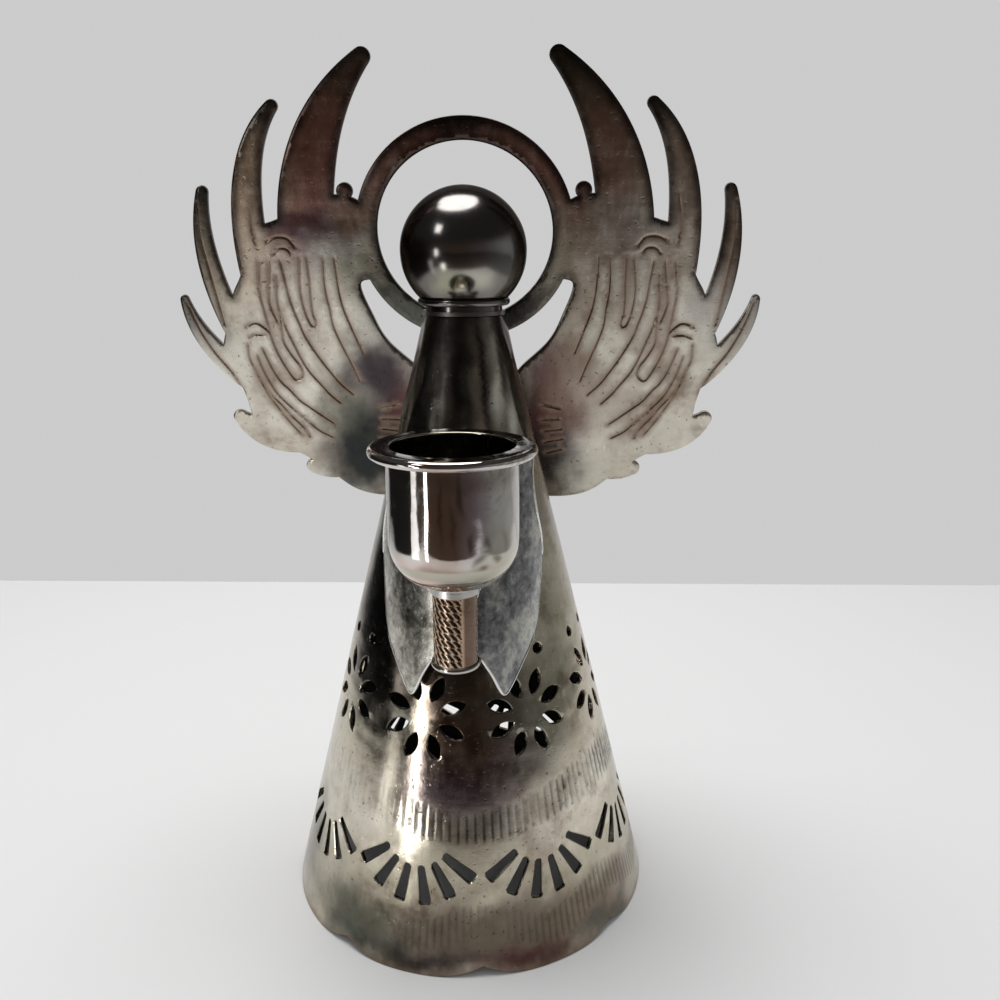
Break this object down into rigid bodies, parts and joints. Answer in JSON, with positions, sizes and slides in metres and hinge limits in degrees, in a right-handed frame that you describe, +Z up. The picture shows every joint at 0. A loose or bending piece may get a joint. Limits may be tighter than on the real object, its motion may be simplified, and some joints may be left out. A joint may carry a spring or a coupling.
{
  "type": "angel candle holder",
  "caption": "Metal angel with a pierced conical skirt, flat wings and halo, a ball head and a lift-out cup for a taper candle.",
  "frame": {"origin": "centre of the hem on the floor", "axes": "+Z up through the neck and the head, -Y to the front where the candle cup stands, +X to the viewer's right"},
  "size_m": [0.1232, 0.0867, 0.1776],
  "materials": {
    "skirt_plate": "tarnished silver plate, satin with worn bright lines",
    "wing_plate": "tarnished silver plate with brown and olive patches",
    "rivet_metal": "plated, slightly dull",
    "neck_metal": "dark tarnish",
    "collar_polished": "polished plate",
    "ball_polished": "mirror polished plate",
    "bush_brass": "turned",
    "fastener_steel": "plain",
    "sleeve_plate": "tarnished silver plate, satin",
    "solder": "bright soft solder",
    "tube_metal": "scale pattern, brown tarnish in the recesses",
    "bead_polished": "polished plate",
    "cup_polished": "bright polished plate",
    "peg_metal": "turned"
  },
  "bodies": {
    "holder": {"skirt": "skirt_plate", "wing_halo_plate": "wing_plate", "wing_rivets": "rivet_metal", "neck_cap": "neck_metal", "neck_collar": "collar_polished", "head_ball": "ball_polished", "head_bush": "bush_brass", "head_stud": "fastener_steel", "head_washer": "fastener_steel", "head_lock_washer": "fastener_steel", "head_nut": "fastener_steel", "left_sleeve": "sleeve_plate", "right_sleeve": "sleeve_plate", "sleeve_solder": "solder", "socket_tube": "tube_metal", "socket_end_cap": "bead_polished"},
    "cup": {"candle_cup": "cup_polished", "cup_peg": "peg_metal", "cup_washer": "fastener_steel", "cup_screw": "fastener_steel"}
  },
  "joints": [
    {"name": "cup_lift", "type": "slide", "parent": "holder", "child": "cup", "axis": [0, 0, 1], "range_m": [0, 0.016]}
  ]
}
